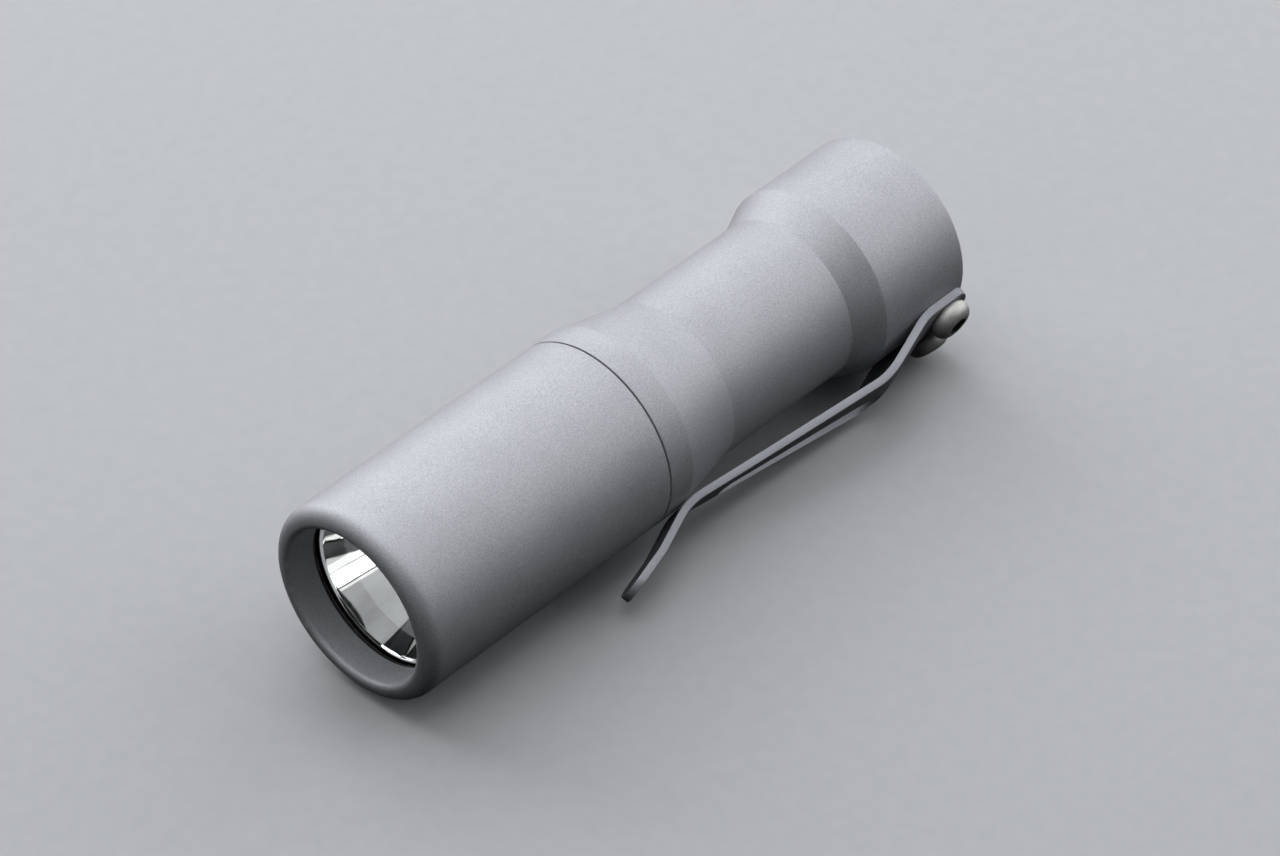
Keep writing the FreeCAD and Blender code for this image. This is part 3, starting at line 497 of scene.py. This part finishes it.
# Colours in linear light.
SHELL_GREY = (0.485, 0.495, 0.52)
CLIP_GREY = (0.30, 0.31, 0.335)
HORIZON_GREY = (0.5, 0.52, 0.54)

MATERIALS = {
    "shell_metal": blasted_metal("shell_metal", SHELL_GREY),
    "clip_metal": blasted_metal("clip_metal", CLIP_GREY, roughness=0.55, grain=0.18),
    "screw_steel": socket_metal("screw_steel", (0.62, 0.61, 0.59)),
    "black_rubber": rubber("black_rubber"),
    "window_glass": clear_glass("window_glass", (0.995, 1.0, 1.0), index=1.5),
    "mirror_metal": mirror_metal("mirror_metal"),
    "emitter_ceramic": plastic("emitter_ceramic", (0.86, 0.86, 0.83)),
    "emitter_phosphor": plastic("emitter_phosphor", (0.85, 0.66, 0.08), speck=0.1),
    "dome_silicone": clear_glass("dome_silicone", (1.0, 0.985, 0.93)),
    "centring_plastic": plastic("centring_plastic", (0.88, 0.88, 0.86)),
    "board_aluminium": plastic("board_aluminium", (0.86, 0.86, 0.84), roughness=0.35),
    "sink_metal": turned_metal("sink_metal", (0.76, 0.76, 0.77)),
    "driver_laminate": plastic("driver_laminate", (0.02, 0.17, 0.06), roughness=0.3),
    "ferrite": plastic("ferrite", (0.07, 0.07, 0.075), roughness=0.6),
    "chip_plastic": plastic("chip_plastic", (0.02, 0.02, 0.022), roughness=0.5, speck=0.1),
    "capacitor_ceramic": plastic("capacitor_ceramic", (0.5, 0.36, 0.22), speck=0.1),
    "contact_brass": turned_metal("contact_brass", (0.78, 0.57, 0.25)),
    "spring_gold": turned_metal("spring_gold", (0.9, 0.7, 0.32), roughness=0.2),
    "lead_red": rubber("lead_red", (0.45, 0.015, 0.015)),
    "lead_black": rubber("lead_black"),
    "cell_steel": turned_metal("cell_steel", (0.72, 0.72, 0.73), roughness=0.2),
    "cell_film": plastic("cell_film", (0.03, 0.09, 0.3), roughness=0.22),
    "washer_board": plastic("washer_board", (0.82, 0.81, 0.76), roughness=0.7),
}


def dress(thing, slot_name):
    """Give a piece the material of one of the record's slots."""
    thing.data.materials.clear()
    thing.data.materials.append(MATERIALS[slot_name])


def stand_for(piece, node, body, slot_name):
    """Put a finished piece in place of a CAD node."""
    dress(piece, slot_name)
    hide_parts(node)
    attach(piece, body)


# ---------------------------------------------------------------- head and optics

def thread_window(station, start, end):
    """1 within a stretch of thread, fading in and out over a third of a turn at its ends."""
    fade = PITCH / 3
    return min(1.0, max(0.0, (station - start) / fade)) * min(
        1.0, max(0.0, (end - station) / fade))


def build_head_shell():
    """The barrel, with its rounded lip, bores, seal bore and cut thread."""
    thread_start = RING_BACK + THREAD_RELIEF
    thread_end = SEAL_LAND_AT - (SHOULDER - SEAM)
    bore = THREAD_ROOT + THREAD_GAP
    foot = THREAD_FOOT_WIDTH + 2 * THREAD_GAP
    crest = THREAD_CREST_WIDTH + 2 * THREAD_GAP
    depth = THREAD_CREST + THREAD_GAP - bore
    phase_start = thread_start - THREAD_LEAD

    def shape(station, radius, angle):
        if abs(radius - bore) > SAME:
            return radius
        phase = (station - phase_start) / PITCH - angle / TURN
        return radius + depth * trapezium(phase, foot, crest)

    corners = [
        (0.0, LIP_BORE, 0.6),
        (LIP_DEPTH, LIP_BORE, 0.06),
        (LIP_DEPTH, BARREL_BORE, 0.06),
        (RING_BACK, BARREL_BORE, 0.05),
        (RING_BACK, SEAL_BORE, 0.05),
        (thread_start, SEAL_BORE, 0.05),
        (thread_start, bore, 0.0),
        (thread_end, bore, 0.0),
        (thread_end, SEAL_BORE, 0.05),
        (SEAM, SEAL_BORE, 0.12),
        (SEAM, HEAD_RADIUS, 0.06),
        (0.0, HEAD_RADIUS, 1.7),
    ]
    outline = split_for_thread(round_corners(corners, closed=True), bore, closed=True)
    shell = spin("head_barrel", outline, shape=shape)
    stand_for(shell, "head_shell", "head", "shell_metal")


def build_window():
    """The glass disc, with its ground edges, and the rubber ring in front of it."""
    ground = 0.15
    glass = spin("window_glass", even_out(round_corners([
        (WINDOW_FRONT, 0.0, 0),
        (WINDOW_FRONT, WINDOW_RADIUS, ground),
        (WINDOW_BACK, WINDOW_RADIUS, ground),
        (WINDOW_BACK, 0.0, 0),
    ], closed=False, steps=2), 1.5, closed=False), closed=False)
    stand_for(glass, "window", "head", "window_glass")
    corner = 0.12
    front = LIP_DEPTH + CLEARANCE
    back = WINDOW_FRONT - CLEARANCE
    outer = BARREL_BORE - CLEARANCE
    seal = spin("window_ring", even_out(round_corners([
        (front, LIP_BORE, corner), (back, LIP_BORE, corner),
        (back, outer, corner), (front, outer, corner),
    ], closed=True), 0.3, closed=True))
    stand_for(seal, "window_seal", "head", "black_rubber")


def build_reflector():
    """The paraboloid mirror, its flange and its foot round the emitter."""
    focal = 1.2
    mouth = 8.75
    hole = 2.75
    wall = 0.9
    flange = 1.6
    chamfer = 0.1
    bead = 0.35
    vertex = WINDOW_BACK + mouth ** 2 / (4 * focal)
    steps = 72

    def dish(vertex_at, start, end, parts):
        """Points on a parabola between two radii."""
        radii = [start + (end - start) * part / parts for part in range(parts + 1)]
        return [Vector((vertex_at - radius ** 2 / (4 * focal), radius)) for radius in radii]

    back_vertex = vertex + 2 * wall
    flange_end = WINDOW_BACK + flange
    back_radius = math.sqrt(4 * focal * (back_vertex - flange_end))
    foot_radius = math.sqrt(4 * focal * (back_vertex - MIRROR_BACK))
    outline = dish(vertex, mouth - bead * 0.15, hole, steps)
    outline += [Vector((MIRROR_BACK, hole))]
    outline += dish(back_vertex, foot_radius, back_radius, steps // 3)
    outline += [
        Vector((flange_end, WINDOW_RADIUS - chamfer)),
        Vector((flange_end - chamfer, WINDOW_RADIUS)),
        Vector((WINDOW_BACK + chamfer, WINDOW_RADIUS)),
        Vector((WINDOW_BACK, WINDOW_RADIUS - chamfer)),
        Vector((WINDOW_BACK, mouth + bead)),
        Vector((WINDOW_BACK + bead * 0.08, mouth + bead * 0.6)),
        Vector((WINDOW_BACK + bead * 0.3, mouth + bead * 0.25)),
    ]
    mirror = spin("mirror", outline, segments=256)
    stand_for(mirror, "reflector", "head", "mirror_metal")


def build_dome():
    """The clear round dome cast over the emitter's die."""
    low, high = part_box("emitter_dome")
    front = (low.x - FRONT) / MM
    back = (high.x - FRONT) / MM - CLEARANCE / 2
    radius = high.z / MM
    steps = 20
    turns = [math.pi / 2 * step / steps for step in range(steps + 1)]
    outline = [Vector((back - (back - front) * math.cos(turn), radius * math.sin(turn)))
               for turn in turns]
    dome = spin("clear_dome", outline + [Vector((back, 0.0))], segments=64, closed=False)
    stand_for(dome, "emitter_dome", "head", "dome_silicone")


# ---------------------------------------------------------------- tube

def build_body_tube():
    """The one-piece tube: threaded neck, seal groove, waist and flared tail."""
    male_start = RING_BACK + THREAD_RELIEF - THREAD_LEAD + PITCH
    male_end = male_start + PITCH * THREAD_TURNS
    half_foot = THREAD_FOOT_WIDTH / 2

    def shape(station, radius, angle):
        if abs(radius - THREAD_ROOT) > SAME:
            return radius
        phase = (station - male_start) / PITCH - angle / TURN
        form = trapezium(phase, THREAD_FOOT_WIDTH, THREAD_CREST_WIDTH)
        cut = thread_window(station, male_start - half_foot, male_end + half_foot)
        return radius + (THREAD_CREST - THREAD_ROOT) * form * cut

    corners = [
        (NECK, CELL_BORE, 0.15),
        (FLOOR, CELL_BORE, 0.2),
        (FLOOR, 0.0, 0),
        (TAIL, 0.0, 0),
        (TAIL, HEAD_RADIUS, 0.4),
        (FLARE_END, HEAD_RADIUS, 0.35),
        (WAIST_END, WAIST_RADIUS, 0.35),
        (WAIST_START, WAIST_RADIUS, 0.6),
        (BAND_END, HEAD_RADIUS, 0.4),
        (SHOULDER, HEAD_RADIUS, 0.06),
        (SHOULDER, SEAL_LAND, 0.05),
        (GROOVE_AT + GROOVE_WIDTH, SEAL_LAND, 0.08),
        (GROOVE_AT + GROOVE_WIDTH, GROOVE_FLOOR, 0.12),
        (GROOVE_AT, GROOVE_FLOOR, 0.12),
        (GROOVE_AT, SEAL_LAND, 0.08),
        (SEAL_LAND_AT, SEAL_LAND, 0.08),
        (SEAL_LAND_AT, THREAD_ROOT, 0.0),
        (NECK, THREAD_ROOT, 0.25),
    ]
    rough = round_corners(corners, closed=True)
    bottom = next(k for k, spot in enumerate(rough) if spot.y == 0.0)
    rough = rough[bottom + 1:] + rough[:bottom + 1]
    outline = split_for_thread(rough, THREAD_ROOT, closed=False)
    tube = spin("tube", outline, closed=False, shape=shape)
    stand_for(tube, "body_tube", "tube", "shell_metal")


# ---------------------------------------------------------------- clip and its screws

def outward(angle):
    """Turns local Y to point out of the light at an angle below the -Y side."""
    return Matrix.Rotation(math.pi + angle, 4, "X")


# The sheet's inner face from base to tip: (station, distance from the axis, bend radius).
CLIP_BEND = [
    (83.3, 11.58, 0),
    (76.46, 11.58, 11.0),
    (67.69, 14.29, 9.4),
    (38.97, 11.48, 8.9),
    (32.6, 13.99, 10.0),
    (26.7, 15.56, 0),
]

# The sheet in plan: its width tapers between two stations, and so does its slot.
CLIP_HALF_WIDTH = 5.12
CLIP_TIP_HALF_WIDTH = 2.07
CLIP_TAPER_START = 68.7
CLIP_TAPER_END = 38.7
CLIP_CORNER = 1.6
SLOT_FRONT = 44.2
SLOT_BACK = 67.9
SLOT_NARROW = 1.35
SLOT_WIDE = 2.65
SLOT_WIDE_AT = 63.2
SLOT_CORNER = 2.0


def clip_half_width(station):
    """Half the clip's width in plan."""
    tip = CLIP_BEND[-1][0]
    base = CLIP_BEND[0][0]
    share = (station - CLIP_TAPER_END) / (CLIP_TAPER_START - CLIP_TAPER_END)
    share = min(1.0, max(0.0, share))
    width = CLIP_TIP_HALF_WIDTH + (CLIP_HALF_WIDTH - CLIP_TIP_HALF_WIDTH) * share
    if station < tip + width:
        width = math.sqrt(max(0.0, width ** 2 - (tip + width - station) ** 2))
    if station > base - CLIP_CORNER:
        drop = station - (base - CLIP_CORNER)
        width -= CLIP_CORNER - math.sqrt(max(0.0, CLIP_CORNER ** 2 - drop ** 2))
    return width


def slot_half_width(station):
    """Half the slot's width in plan, or 0 outside it."""
    if not SLOT_FRONT < station < SLOT_BACK:
        return 0.0
    narrow_at = SLOT_FRONT + SLOT_NARROW
    if station < narrow_at:
        return math.sqrt(SLOT_NARROW ** 2 - (narrow_at - station) ** 2)
    share = min(1.0, (station - narrow_at) / (SLOT_WIDE_AT - narrow_at))
    width = SLOT_NARROW + (SLOT_WIDE - SLOT_NARROW) * share
    drop = max(0.0, station - (SLOT_BACK - SLOT_CORNER))
    return width - SLOT_CORNER + math.sqrt(max(0.0, SLOT_CORNER ** 2 - drop ** 2))


def clip_stations():
    """Stations from tip to base, close together at the rounded ends."""
    tip = CLIP_BEND[-1][0]
    base = CLIP_BEND[0][0]
    tip_steps, tongue_steps = 10, 30
    slot_front_steps, slot_steps, slot_back_steps = 8, 36, 10
    foot_steps, corner_steps = 26, 7

    def run(start, end, count):
        return [start + (end - start) * step / count for step in range(count)]

    def rounding(start, end, count, into):
        """Closely spaced where a round end closes: into is True when it opens out."""
        turn = math.pi / 2
        shares = [step / count for step in range(count)]
        if into:
            return [start + (end - start) * (1 - math.cos(turn * share)) for share in shares]
        return [start + (end - start) * math.sin(turn * share) for share in shares]

    stations = rounding(tip + CLEARANCE, tip + CLIP_TIP_HALF_WIDTH, tip_steps, True)
    stations += run(tip + CLIP_TIP_HALF_WIDTH, SLOT_FRONT, tongue_steps)
    stations += rounding(SLOT_FRONT, SLOT_FRONT + SLOT_NARROW, slot_front_steps, True)
    stations += run(SLOT_FRONT + SLOT_NARROW, SLOT_BACK - SLOT_CORNER, slot_steps)
    stations += rounding(SLOT_BACK - SLOT_CORNER, SLOT_BACK, slot_back_steps, False)
    stations += run(SLOT_BACK, base - CLIP_CORNER, foot_steps)
    stations += rounding(base - CLIP_CORNER, base, corner_steps, False)
    return stations + [base]


def bend_height():
    """A function from station to the sheet's inner height and its slope."""
    path = even_out(round_corners(CLIP_BEND, closed=False, steps=10), 0.5, closed=False)

    def height(station):
        station = min(path[0].x, max(path[-1].x, station))
        for start, end in zip(path, path[1:]):
            if end.x <= station <= start.x:
                share = (station - end.x) / max(1e-9, start.x - end.x)
                return end.y + (start.y - end.y) * share, (start.y - end.y) / (start.x - end.x)
        raise ValueError(station)

    return height


def clip_sheet():
    """The bent sheet, curved across its width, with a long tapering slot."""
    height = bend_height()
    columns = 6
    mesh = bmesh.new()
    turn = outward(CLIP_ANGLE)

    def spot(station, across, depth):
        """A point of the sheet; depth is 0 on the inner face and 1 on the outer."""
        inner, slope = height(station)
        tilt = math.atan(slope)
        along = station - CLIP_SHEET * depth * math.sin(tilt)
        out = inner + CLIP_SHEET * depth * math.cos(tilt)
        angle = math.asin(across / out)
        return turn @ Vector((at(along), out * MM * math.cos(angle), out * MM * math.sin(angle)))

    rows = []
    for station in clip_stations():
        slot_edge = slot_half_width(station)
        edge = clip_half_width(station)
        row = {}
        for depth in (0, 1):
            for side in (1, -1):
                verts = []
                for column in range(columns + 1):
                    across = slot_edge + (edge - slot_edge) * column / columns
                    shared = row.get((depth, 1))
                    if side == -1 and column == 0 and slot_edge == 0:
                        verts.append(shared[0])
                    else:
                        verts.append(mesh.verts.new(spot(station, across * side, depth)))
                row[(depth, side)] = verts
        rows.append((slot_edge > 0, row))
    for (open_a, row), (open_b, after) in zip(rows, rows[1:]):
        for side in (1, -1):
            for depth in (0, 1):
                a = row[(depth, side)]
                b = after[(depth, side)]
                for column in range(columns):
                    mesh.faces.new((a[column], a[column + 1], b[column + 1], b[column]))
            walls = [columns]
            if open_a or open_b:
                walls.append(0)
            for column in walls:
                mesh.faces.new((row[(0, side)][column], after[(0, side)][column],
                                after[(1, side)][column], row[(1, side)][column]))
    for open_slot, row in (rows[0], rows[-1]):
        for side in (1, -1):
            a = row[(0, side)]
            b = row[(1, side)]
            for column in range(columns):
                mesh.faces.new((a[column], a[column + 1], b[column + 1], b[column]))
    return finish_mesh("clip_sheet", mesh)


def build_clip():
    """The pocket clip: its sheet, two screw holes with spot-faces, and broken edges."""
    clip = clip_sheet()
    hole = 1.65
    spot_face = 2.75
    inside, outside = -3.0, 4.0
    broken_edge = 0.1
    for side in (1, -1):
        cutter = spin_local("cutter", [
            (inside, 0.0), (inside, hole), (0.0, hole),
            (0.0, spot_face), (outside, spot_face), (outside, 0.0),
        ], 48)
        cutter.matrix_world = screw_place(side)
        drill = clip.modifiers.new("hole", "BOOLEAN")
        drill.operation = "DIFFERENCE"
        drill.solver = "EXACT"
        drill.object = cutter
        apply_modifiers(clip)
        bpy.data.objects.remove(cutter)
    edges = clip.modifiers.new("edges", "BEVEL")
    edges.limit_method = "ANGLE"
    edges.angle_limit = math.radians(50)
    edges.width = broken_edge * MM
    edges.segments = 2
    apply_modifiers(clip)
    smooth(clip, 40)
    dress(clip, "clip_metal")
    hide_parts("pocket_clip")
    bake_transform(clip)


def screw_place(side):
    """Where a clip screw's seat is, with local Z pointing out of the light."""
    turn = Matrix.Rotation(math.pi / 2 + CLIP_ANGLE + SCREW_ANGLE * side, 4, "X")
    return Matrix.Translation((at(SCREW_AT), 0, 0)) @ turn @ Matrix.Translation(
        (0, 0, SCREW_SEAT * MM))


def build_screws():
    """Two button-head screws with hexagon sockets."""
    socket = 1.0
    socket_depth = 1.1
    socket_chamfer = 0.1
    cone_depth = 0.25
    top = 2.0
    head = 2.5
    shank = 1.5
    shank_end = -4.02
    point = 0.2
    point_length = 0.22
    sixth = TURN / 6

    def shape(height, radius, angle):
        """The socket's rings follow a hexagon; every other ring is round."""
        if radius > socket * 1.2:
            return radius
        return radius / math.cos((angle + sixth / 2) % sixth - sixth / 2)

    head_line = round_corners([
        (0.0, shank, 0), (0.0, head, 0.6), (top, head, 1.2), (top, socket * 1.35, 0),
    ], closed=False, steps=9)
    outline = [
        Vector((shank_end, 0.0)),
        Vector((shank_end, shank - point)),
        Vector((shank_end + point_length, shank)),
    ]
    outline += head_line
    outline += [
        Vector((top, socket * 1.12)),
        Vector((top - socket_chamfer, socket)),
        Vector((top - socket_depth, socket)),
        Vector((top - socket_depth - cone_depth, 0.0)),
    ]
    for number, side in enumerate((-1, 1)):
        screw = spin_local("clip_screw_%d" % (number + 1), outline, 96, shape)
        screw.matrix_world = screw_place(side)
        dress(screw, "screw_steel")
        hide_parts("clip_screws")
        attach(screw, "tube")


# ---------------------------------------------------------------- tail spring

def build_spring():
    """The conical spring, stretching between the tail plate and the cell."""
    node = frame["nodes"]["tail_spring"]
    spring = bpy.data.objects.new("spring_coil", node.data.copy())
    bpy.context.scene.collection.objects.link(spring)
    smooth(spring)
    dress(spring, "spring_gold")
    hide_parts("tail_spring")
    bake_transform(spring)


# ---------------------------------------------------------------- stage

def build_floor(low, high):
    """A plain pale floor that fades into the background far from the light."""
    half_side = 4.0
    fade_starts, fade_full = 0.22, 0.65
    mesh = bmesh.new()
    bmesh.ops.create_grid(mesh, x_segments=1, y_segments=1, size=half_side)
    floor = finish_mesh("floor", mesh)
    floor.location = ((low[0] + high[0]) / 2, 0, low[2] - 2 * CLEARANCE * MM)
    material, shader = new_material("pale_floor", (0.5, 0.5, 0.5), 0.0, 0.8)
    grain = place_noise(material, 2.0, detail=4.0)
    link(material, ramp(material, grain, (0.41, 0.42, 0.43), (0.425, 0.435, 0.445)),
         shader.inputs["Base Color"])
    place = add(material, "TexCoord")
    distance = add(material, "VectorMath", operation="LENGTH")
    link(material, place.outputs["Object"], distance.inputs[0])
    horizon = add(material, "Emission", Color=(*HORIZON_GREY, 1))
    fade = add(material, "MixShader")
    link(material, spread(material, distance.outputs["Value"], 0.0, 1.0, fade_starts, fade_full),
         fade.inputs["Fac"])
    link(material, shader.outputs["BSDF"], fade.inputs[1])
    link(material, horizon.outputs["Emission"], fade.inputs[2])
    output = material.node_tree.nodes["Material Output"]
    link(material, fade.outputs["Shader"], output.inputs["Surface"])
    floor.data.materials.append(material)
    floor.visible_diffuse = False
    floor.visible_glossy = False


def build_softboxes(middle):
    """Square soft lights round the flashlight: (name, direction from it, watts)."""
    distance = 0.6
    side = 0.5
    for name, toward, power in (
            ("top", (0, 0, 1), 1.55), ("back", (0, 1, 1), 1.35),
            ("back_low", (0, 1, 0.35), 1.4), ("back_right", (1, 1, 1), 1.0),
            ("left", (-1, 0, 1), 0.65), ("right_front", (1, -1, 1), 1.15),
            ("right_low", (1, 0, 0.35), 1.3)):
        place = middle + Vector(toward).normalized() * distance
        data = bpy.data.lights.new(name, "AREA")
        data.size = side
        data.energy = power
        data.color = (0.97, 0.98, 1.0)
        light = bpy.data.objects.new(name, data)
        light.location = place
        light.rotation_euler = (middle - place).to_track_quat("-Z", "Y").to_euler()
        bpy.context.scene.collection.objects.link(light)


def from_angles(azimuth, elevation):
    """A direction ahead of the lip: azimuth towards +Y and elevation, in degrees."""
    azimuth = math.radians(azimuth)
    elevation = math.radians(elevation)
    return Vector((-math.cos(azimuth) * math.cos(elevation),
                   math.sin(azimuth) * math.cos(elevation), math.sin(elevation)))


def build_mirror_cards():
    """Glowing cards in front of the head that only the mirror and the glass reflect.

    Each is (name, azimuth, elevation, width, height, strength), with its sides in metres.
    """
    distance = 0.4
    receivers = bpy.data.collections.new("mirror_only")
    for name in ("mirror", "window_glass"):
        receivers.objects.link(bpy.data.objects[name])
    for name, azimuth, elevation, width, height, glow in (
            ("card_left", 46, 26, 0.24, 0.26, 2.6),
            ("card_low_left", 48, -8, 0.22, 0.18, 1.2),
            ("card_right", -62, -20, 0.26, 0.22, 2.8),
            ("card_upper", 32, 55, 0.25, 0.12, 1.4),
            ("card_rim", 43, -41, 0.06, 0.06, 3.0),
            ("card_below", 0, -66, 0.7, 0.34, 0.25)):
        toward = from_angles(azimuth, elevation)
        mesh = bmesh.new()
        bmesh.ops.create_grid(mesh, x_segments=1, y_segments=1, size=0.5)
        card = finish_mesh(name, mesh)
        card.location = Vector((FRONT, 0, 0)) + toward * distance
        card.rotation_euler = toward.to_track_quat("Z", "Y").to_euler()
        card.scale = (width, height, 1)
        material, shader = new_material(name, (0, 0, 0), 0.0, 1.0)
        shader.inputs["Emission Color"].default_value = (0.96, 0.98, 1.0, 1)
        shader.inputs["Emission Strength"].default_value = glow
        card.data.materials.append(material)
        card.light_linking.receiver_collection = receivers
        card.visible_camera = False
        card.visible_diffuse = False
        card.visible_shadow = False


def build_background():
    """A pale background to the camera, which lights the flashlight only faintly."""
    faint = 0.016
    world = bpy.data.worlds.new("studio")
    world.use_nodes = True
    background = world.node_tree.nodes["Background"]
    background.inputs["Color"].default_value = (*HORIZON_GREY, 1)
    path = add(world, "LightPath")
    link(world, spread(world, path.outputs["Is Camera Ray"], faint, 1.0, 0.0, 1.0),
         background.inputs["Strength"])
    bpy.context.scene.world = world
    bpy.context.scene.view_settings.view_transform = "Standard"


def build_camera():
    """The camera, ahead of the lip on the clip's side, looking down on the light."""
    azimuth = math.radians(-47.27)
    elevation = math.radians(41.44)
    distance = 0.5089
    aim = Vector((-0.0419, -0.0017, -0.0014))
    away = Vector((math.sin(azimuth) * math.cos(elevation),
                   -math.cos(azimuth) * math.cos(elevation), math.sin(elevation)))
    data = bpy.data.cameras.new("camera")
    data.lens = 134.67
    data.sensor_width = 36.0
    data.clip_start = 0.01
    camera = bpy.data.objects.new("camera", data)
    camera.location = aim + away * distance
    camera.rotation_euler = (-away).to_track_quat("-Z", "Y").to_euler()
    bpy.context.scene.collection.objects.link(camera)
    bpy.context.scene.camera = camera


def build_stage():
    """The floor, lights, background and camera."""
    low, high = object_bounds()
    build_floor(low, high)
    build_softboxes(Vector(((low[0] + high[0]) / 2, 0, 0)))
    build_mirror_cards()
    build_background()
    build_camera()


for node in frame["nodes"].values():
    smooth(node)
for entry in frame["record"]["subparts"]:
    dress(frame["nodes"][entry["node"]], entry["material_slot"])

build_head_shell()
build_window()
build_reflector()
build_dome()
build_body_tube()
build_clip()
build_screws()
build_spring()
build_stage()
